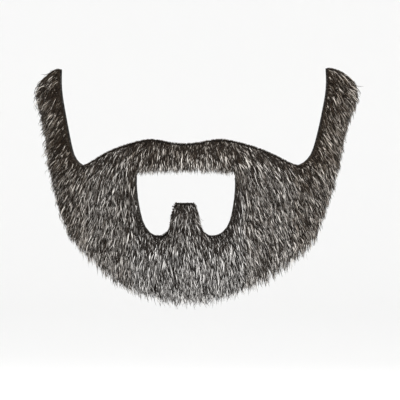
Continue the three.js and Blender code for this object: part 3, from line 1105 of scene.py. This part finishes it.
    def make_coat(self, tufts: Tufts, coat: Coat) -> Strands:
        """Grows one kind of strand.

        Args:
            tufts: What they gather to.
            coat: The kind.

        Returns:
            The finished strands.
        """
        rng = self.rng
        roots, normals = self.spots_for(coat)
        count = len(roots)
        side = smooth_ramp(np.abs(self.cloth.form.girth(roots)), *self.side_girth)
        near = tufts.nearest(roots)
        angles = tufts.swing[near] + rng.normal(0.0, coat.swing, count)
        ways = turned(self.cloth.lay(roots, normals), normals, angles)
        lengths = rng.uniform(coat.shortest, coat.longest, count)
        lengths *= 1.0 + LEFT_JAW_FOOT.longer * LEFT_JAW_FOOT.share(roots)
        rises = self.rise_at(roots) * rng.uniform(coat.rise_low, coat.rise_high, count)
        rises *= np.maximum(1.0 + self.side_luck * side * rng.normal(size=count), self.least_rise)
        strands = Strands(roots, normals, ways, lengths, rises)
        strands.paths = self.grow(strands, coat.stations, power=coat.rise_power)
        pull = rng.normal(coat.pull, self.pull_spread, count) + self.side_pull * side * (coat.pull > 0.0)
        pull = np.clip(pull, 0.0, self.pull_most)
        along = np.linspace(0.0, 1.0, coat.stations)
        guides = tufts.points_at(near, along[None] * (lengths / tufts.lengths[near])[:, None])
        share = (pull[:, None] * along ** self.pull_power)[:, :, None]
        strands.paths = strands.paths + share * (guides - strands.paths)
        luck = self.tuft_luck * tufts.luck[near] + (1.0 - self.tuft_luck) * rng.random(count)
        strands.tones, is_pale = self.tones(roots, self.cloth.cut_distance(roots), luck, coat.paler)
        self.thicken(strands, coat.width * np.where(is_pale, self.pale_width, 1.0))
        strands.starts = np.maximum(coat.colour_start, self.side_run * side)
        strands.ends = np.minimum(coat.colour_end, 1.0 - self.side_run * side)
        return strands

    def thicken(self, strands: Strands, widths: Array) -> None:
        """Gives strands their widths and twists.

        Args:
            strands: The strands.
            widths: How wide they are without chance.
        """
        count = len(strands.roots)
        strands.widths = widths * self.rng.normal(1.0, self.width_spread, count)
        strands.twists = self.rng.uniform(0.0, 2 * math.pi, count)

    def spots_for(self, coat: Coat) -> tuple[Array, Array]:
        """Picks the roots of one kind of strand.

        Args:
            coat: The kind.

        Returns:
            The roots and the normals there.
        """
        if coat.edge_band is None and not coat.at_sides:
            return self.cloth.sample(coat.count, self.rng)
        roots, normals = self.cloth.sample(coat.count * self.tries, self.rng)
        if coat.at_sides:
            girth = self.cloth.form.girth(roots)
            chance = np.where(girth > 0.0, self.stray_left, self.stray_right)
            chance = smooth_ramp(np.abs(girth), *self.stray_girth) * chance
        else:
            chance = 1.0 - self.cloth.cut_distance(roots) / coat.edge_band
        kept = np.flatnonzero(self.rng.random(len(roots)) < chance)
        kept = np.sort(self.rng.permutation(kept)[:coat.count])
        return roots[kept], normals[kept]

    def make_rim(self) -> Strands:
        """Grows the short dark ends that stick out round the neat cut edges.

        Returns:
            The finished strands.
        """
        rng, count = self.rng, self.rim_count
        start, run, outward, normals = self.cloth.neat_edges()
        chosen = spread(np.linalg.norm(run, axis=1), count, rng)
        inset = rng.uniform(0.0, self.rim_inset, count)[:, None]
        out = outward[chosen]
        places = start[chosen] + run[chosen] * rng.random(count)[:, None] - out * inset
        roots, normals, _ = self.cloth.nearest(places)
        corner = self.blunt_corners(roots, out)
        along = np.where(corner, self.rim_lean[0], rng.uniform(*self.rim_lean, count))
        ways = unit(out + along[:, None] * self.cloth.lay(roots, normals))
        swing = rng.normal(0.0, self.rim_swing, count) * np.where(corner, self.corner_steadier, 1.0)
        ways = turned(ways, normals, swing)
        reach = np.where(corner, self.rim_longest, rng.uniform(self.rim_shortest, self.rim_longest, count))
        strands = Strands(roots, normals, ways, reach, rng.uniform(*self.rim_rise, count))
        clip = rng.uniform(self.rim_clip, 1.0, count) ** np.where(corner, self.corner_clip_power, 1.0)
        clip *= np.where(corner, self.corner_limit, self.rim_limit)
        strands.paths = self.grow(strands, 3, clip)
        strands.tones = self.pale_floor * rng.beta(*self.rim_luck, count)
        self.thicken(strands, self.rim_width)
        strands.starts, strands.ends = np.zeros(count), np.ones(count)
        return strands

    @staticmethod
    def blunt_corners(roots: Array, outward: Array) -> Array:
        """Finds the rim's strands at the two top corners of the soul patch, which they square off.

        Args:
            roots: Roots of the rim's strands.
            outward: The cut edge's outward directions there.

        Returns:
            Which strands are there.
        """
        side, height = np.abs(roots[:, 0]), roots[:, 2]
        near = (side < CORNER_SIDE) & (height > CORNER_FOOT) & (height < CORNER_TOP)
        return near & (outward[:, 2] > 0.3) & (np.abs(outward[:, 0]) > 0.4)

    def rise_at(self, points: Array) -> Array:
        """Share of the full rise: less at neat cut edges and the left rear, more at the right rear and top.

        Args:
            points: Roots.

        Returns:
            A share for each root.
        """
        near_edge = smooth_ramp(self.cloth.cut_distance(points), 0.0, self.edge_run)
        girth, height = self.cloth.form.girth(points), points[:, 2]
        top = smooth_ramp(height, *self.top)
        more = smooth_ramp(np.abs(girth), *self.rear) * (self.rear_rise * near_edge + self.top_rise * top)
        pressed = smooth_ramp(girth, *self.pressed_girth)
        pressed *= smooth_ramp(height, *self.pressed_foot) * smooth_ramp(height, *self.pressed_top)
        raised = smooth_ramp(girth, *self.raised_girth)
        share = self.edge_rise + (1.0 - self.edge_rise) * near_edge + more
        return share * (1.0 - self.pressed_loss * pressed + self.raised_gain * raised)

    def zones(self, roots: Array) -> Array:
        """Sorts strands into zones by the place of their roots.

        Args:
            roots: Rows of roots.

        Returns:
            A Zone for each root.
        """
        girth, height = self.cloth.form.girth(roots), roots[:, 2]
        side = np.abs(girth)
        front, rear, high = side < FRONT_END, side >= CHEEK_END, height > SIDEBURN_FOOT
        chosen = np.full(len(roots), Zone.CHIN, dtype=object)
        chosen[front & (height > MOUSTACHE_FOOT)] = Zone.MOUSTACHE
        between = (height > SOUL_PATCH_FOOT) & (height < SOUL_PATCH_TOP)
        chosen[(side < SOUL_PATCH_SIDE) & between] = Zone.SOUL_PATCH
        for here, cheek, jaw, sideburn in (
                (girth > 0, Zone.LEFT_CHEEK, Zone.LEFT_JAW, Zone.LEFT_SIDEBURN),
                (girth <= 0, Zone.RIGHT_CHEEK, Zone.RIGHT_JAW, Zone.RIGHT_SIDEBURN)):
            chosen[here & ~front & ~rear] = cheek
            chosen[here & rear & ~high] = jaw
            chosen[here & rear & high] = sideburn
        return chosen

    def build(self) -> list[bpy.types.Object]:
        """Grows the pile and makes its pieces.

        Returns:
            One piece for each zone.
        """
        tufts = self.make_tufts()
        kinds = [self.make_coat(tufts, coat) for coat in COATS.values()]
        kinds.append(self.make_rim())
        zones = [self.zones(strands.roots) for strands in kinds]
        tone_group = StrandTones().group()
        mesher = StrandMesh()
        pieces = []
        for zone in Zone:
            piece = joined([mesher.build(zone.value, strands.chosen(found == zone))
                            for strands, found in zip(kinds, zones)])
            finish = PileFinish(zone.value.replace("fur", "pile"), WARMTH[zone])
            piece.data.materials.append(finish.material(tone_group))
            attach(piece, "root")
            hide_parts("fur_pile")
            piece.data.calc_loop_triangles()
            LOG.info("%s: %d triangles", zone.value, len(piece.data.loop_triangles))
            pieces.append(piece)
        return pieces


@dataclass
class BackingCloth:
    """The knit cloth that the pile is rooted in, with its tacky back."""


    node: str = "backing_cloth"
    name: str = "knit_backing"
    thickness: float = 1.2 * MM
    merge: float = 0.01 * MM
    rim_crease: float = 0.6
    flat_width: float = 0.208
    flat_height: float = 0.109
    flat_area: float = 0.00996
    piece: bpy.types.Object = field(init=False)
    cloth: ClothField = field(init=False)

    def shape(self, frame: dict, form: FaceForm) -> None:
        """Copies the CAD cloth and merges it.

        Args:
            form: The face that the cloth is wrapped round.
        """
        mesh = frame["nodes"][self.node].data.copy()
        mesh.name = self.name
        self.piece = bpy.data.objects.new(self.name, mesh)
        bpy.context.scene.collection.objects.link(self.piece)
        select_only(self.piece)
        bpy.ops.mesh.customdata_custom_splitnormals_clear()
        bpy.ops.object.mode_set(mode="EDIT")
        bpy.ops.mesh.select_all(action="SELECT")
        bpy.ops.mesh.remove_doubles(threshold=self.merge)
        bpy.ops.object.mode_set(mode="OBJECT")
        mesh.materials.clear()
        self.cloth = ClothField(mesh, form, self.thickness)
        LOG.info("cloth: %d outer faces, %d inner faces of %d", self.cloth.outer_face.sum(),
                 self.cloth.inner_face.sum(), len(mesh.polygons))

    def dress(self, knit: bpy.types.Material, film: bpy.types.Material) -> None:
        """Gives the cloth its pattern map, its finer mesh and its two finishes.

        Args:
            knit: Finish of the outer side and the cut edges.
            film: Finish of the inner side.
        """
        mesh = self.piece.data
        mesh.materials.append(knit)
        mesh.materials.append(film)
        mesh.polygons.foreach_set("material_index", self.cloth.inner_face.astype(np.int32))
        girth = self.cloth.form.girth(self.cloth.points)
        add_map(mesh, KnitFinish.pattern, np.stack([girth, self.cloth.points[:, 2]], axis=1))
        rim = ~(self.cloth.outer_face | self.cloth.inner_face)
        select_only(self.piece)
        mesh.polygons.foreach_set("select", rim)
        bpy.ops.object.mode_set(mode="EDIT")
        bpy.ops.mesh.select_mode(type="FACE")
        bpy.ops.transform.edge_crease(value=self.rim_crease)
        bpy.ops.object.mode_set(mode="OBJECT")
        bpy.ops.object.modifier_add(type="SUBSURF")
        finer = self.piece.modifiers[-1]
        finer.levels = finer.render_levels = 1
        bpy.ops.object.modifier_apply(modifier=finer.name)
        bpy.ops.object.shade_smooth()

    def declare(self) -> None:
        """Attaches the cloth to the root body and hides the CAD cloth.
        """
        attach(self.piece, "root")
        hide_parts(self.node)


@dataclass(frozen=True)
class KnitFinish:
    """Coarse black knit, which may have a patchy gloss of tacky film."""

    name: str
    film: float = 0.0
    # Mixed by stitch height, the colour is lighter on the raised loops and near black in the hollows
    # between them: painted highlight on the loops and painted shade in the hollows.
    yarn: Colour = (0.05, 0.046, 0.043)
    gap: Colour = (0.003, 0.003, 0.003)
    wale: float = 2.0 * MM
    course: float = 1.5 * MM
    roughness: float = 0.85
    specular: float = 0.1
    bump: float = 1.0
    bump_depth: float = 0.45 * MM
    film_grain: float = 90.0
    film_detail: float = 3.0
    film_borders: Span = (0.42, 0.62)
    film_smoothing: float = 0.35
    film_roughness: float = 0.3
    pattern: str = "pattern"

    def material(self, knit_group: bpy.types.NodeTree) -> bpy.types.Material:
        """Builds the material.

        Args:
            knit_group: The shader group that draws the stitches.

        Returns:
            The material.
        """
        tools = MaterialTools(self.name, {"Coat Roughness": self.film_roughness,
                                          "Specular IOR Level": self.specular})
        spot = tools.add("ShaderNodeUVMap", {}, uv_map=self.pattern)
        knit = tools.add("ShaderNodeGroup", {
            "Wale": self.wale, "Course": self.course, "Pattern": spot.outputs["UV"],
        }, node_tree=knit_group)
        height = knit.outputs["Height"]
        bump = tools.add("ShaderNodeBump", {"Strength": self.bump, "Distance": self.bump_depth,
                                            "Height": height})
        place = tools.add("ShaderNodeTexCoord", {})
        patches = tools.add("ShaderNodeTexNoise", {
            "Scale": self.film_grain, "Detail": self.film_detail, "Vector": place.outputs["Object"],
        })
        film = tools.math("MULTIPLY", tools.ramp(patches.outputs["Fac"], *self.film_borders), self.film)
        smoother = tools.math("MULTIPLY", film, self.film_smoothing)
        # The base colour by stitch height is painted highlight on the raised loops and painted shade in the
        # hollows.
        tools.feed(tools.shader, {
            "Base Color": tools.mix(height, (*self.gap, 1.0), (*self.yarn, 1.0)),
            "Normal": bump.outputs["Normal"],
            "Coat Weight": film,
            "Roughness": tools.math("SUBTRACT", self.roughness, smoother),
        })
        return tools.material


@dataclass(frozen=True)
class KnitLoops:
    """Stitches of two leaning legs each."""

    lean: float = 1.3
    leg_power: float = 0.9
    row_power: float = 0.8

    def group(self) -> bpy.types.NodeTree:
        """Builds the shader group.

        Returns:
            The group. Its Pattern input is a place on the flat cloth in metres.
        """
        inputs = {"Pattern": "Vector", "Wale": "Float", "Course": "Float"}
        tools = new_group("knit_loops", inputs, {"Height": "Float"})
        given = tools.add("NodeGroupInput", {}).outputs
        split = tools.add("ShaderNodeSeparateXYZ", {"Vector": given["Pattern"]})
        column = tools.math("DIVIDE", split.outputs[0], given["Wale"])
        row = tools.math("DIVIDE", split.outputs[1], given["Course"])
        from_middle = tools.math("ABSOLUTE", tools.math("SUBTRACT", tools.math("FRACT", column), 0.5))
        leaning = tools.math("ADD", row, tools.math("MULTIPLY", from_middle, self.lean))
        along = tools.math("ABSOLUTE", tools.math("SINE", tools.math("MULTIPLY", leaning, math.pi)))
        leg = tools.math("ABSOLUTE", tools.math("SINE", tools.math("MULTIPLY", column, 2 * math.pi)))
        height = tools.math("MULTIPLY", tools.math("POWER", leg, self.leg_power),
                            tools.math("POWER", along, self.row_power))
        tools.add("NodeGroupOutput", {"Height": height})
        return tools.tree


@dataclass
class Studio:
    """Pale floor, soft lights and the camera at the photograph's angle."""

    azimuth: float = math.radians(4.7)
    aim_height: float = 24 * MM
    aim_forward: float = 3 * MM
    shift_right: float = 7.15 * MM
    distance: float = 1.3
    lens: float = 247.1
    floor_height: float = -0.2
    floor_radius: float = 4.0
    wall_height: float = 0.6
    floor_rise: float = 1.8
    floor_flat: float = 0.3
    floor_bends: int = 16
    light_aim: tuple[float, float, float] = (0.0, 0.03, 0.03)

    def place_camera(self) -> None:
        """Adds the camera, level with the face."""
        aside = Vector((math.cos(self.azimuth), math.sin(self.azimuth), 0.0))
        back = Vector((math.sin(self.azimuth), -math.cos(self.azimuth), 0.0))
        aim = Vector((0.0, -self.aim_forward, self.aim_height)) + aside * self.shift_right
        place = aim + back * self.distance
        bpy.ops.object.camera_add(location=place, rotation=(math.pi / 2, 0.0, self.azimuth))
        camera = bpy.context.object
        camera.name = "photo_camera"
        camera.data.lens = self.lens
        camera.data.sensor_width = 36.0
        camera.data.clip_end = 50.0
        bpy.context.scene.camera = camera

    def floor_finish(self) -> bpy.types.Material:
        """Builds the pale, faintly mottled finish of the floor.

        Returns:
            The material.
        """
        tools = MaterialTools("studio_floor", {"Roughness": 0.9, "Specular IOR Level": 0.1})
        mottle = tools.add("ShaderNodeTexNoise", {"Scale": 3.0})
        colour = tools.mix(mottle.outputs["Fac"], (0.9, 0.9, 0.9, 1.0), (0.93, 0.93, 0.925, 1.0))
        tools.feed(tools.shader, {"Base Color": colour})
        return tools.material

    def build_floor(self) -> None:
        """Adds a round floor whose rim sweeps up into a wall all round."""
        bpy.ops.object.select_all(action="DESELECT")
        bpy.ops.mesh.primitive_circle_add(vertices=96, radius=self.floor_radius, fill_type="NGON",
                                          location=(0.0, 0.0, self.floor_height))
        floor = bpy.context.object
        floor.name = "studio_floor"
        bpy.ops.object.transform_apply(location=True, rotation=True, scale=True)
        bpy.ops.object.mode_set(mode="EDIT")
        bpy.ops.mesh.select_mode(type="EDGE")
        bpy.ops.mesh.select_all(action="SELECT")
        bpy.ops.mesh.region_to_loop()
        radius = self.extrude_rim(self.floor_radius, self.floor_flat, 0.0)
        run = self.floor_rise * math.pi / 2 / self.floor_bends
        for step in range(self.floor_bends):
            turn = math.pi / 2 * (step + 0.5) / self.floor_bends
            radius = self.extrude_rim(radius, run * math.cos(turn), run * math.sin(turn))
        self.extrude_rim(radius, 0.0, self.wall_height)
        bpy.ops.object.mode_set(mode="OBJECT")
        bpy.ops.object.shade_smooth()
        floor.data.materials.append(self.floor_finish())

    @staticmethod
    def extrude_rim(radius: float, outward: float, upward: float) -> float:
        """Extrudes the selected rim of the floor.

        Args:
            radius: The rim's radius.
            outward: How much it grows.
            upward: How much the rim rises.

        Returns:
            The new radius.
        """
        bpy.ops.mesh.extrude_region_move(TRANSFORM_OT_translate={"value": (0.0, 0.0, upward)})
        share = (radius + outward) / radius
        bpy.ops.transform.resize(value=(share, share, 1.0))
        return radius + outward

    def add_light(self, name: str, place: tuple[float, float, float], size: float, power: float) -> None:
        """Adds a square soft light that faces the object.

        Args:
            name: The light's name.
            place: Where it stands.
            size: Its side.
            power: Its power in watts.
        """
        toward = Vector(self.light_aim) - Vector(place)
        turn = toward.to_track_quat("-Z", "Y").to_euler()
        bpy.ops.object.light_add(type="AREA", location=place, rotation=turn)
        light = bpy.context.object
        light.name = name
        light.data.size = size
        light.data.energy = power

    def build_lights(self) -> None:
        """Adds the lights and the pale surroundings."""
        self.add_light("key_light", (-0.7, -1.45, 1.0), 0.8, 26.0)
        self.add_light("fill_light", (1.25, -1.1, 0.6), 1.0, 19.0)
        self.add_light("rear_light", (0.4, 1.3, 1.1), 0.9, 14.0)
        world = bpy.data.worlds.new("studio_air")
        bpy.context.scene.world = world
        world.use_nodes = True
        air = world.node_tree.nodes["Background"]
        air.inputs["Color"].default_value = (1.0, 1.0, 1.0, 1.0)
        air.inputs["Strength"].default_value = 1.0
        bpy.context.scene.view_settings.view_transform = "Standard"

    def build(self) -> None:
        """Sets up the whole studio."""
        self.build_floor()
        self.build_lights()


def main() -> None:
    """Builds the object and its studio."""
    logging.basicConfig(level=logging.INFO, format="%(name)s: %(message)s")
    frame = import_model()
    studio = Studio()
    studio.place_camera()

    form = FaceForm()
    backing = BackingCloth()
    backing.shape(frame, form)
    fur = FurPile(backing.cloth).build()
    stitches = KnitLoops().group()
    backing.dress(KnitFinish("black_knit").material(stitches),
                  KnitFinish("tacky_knit_back", film=0.22).material(stitches))
    backing.declare()
    LOG.info("%s: %d faces", backing.name, len(backing.piece.data.polygons))

    studio.build()
    LOG.info("studio: floor, lights and camera")


if __name__ == "__main__":
    main()
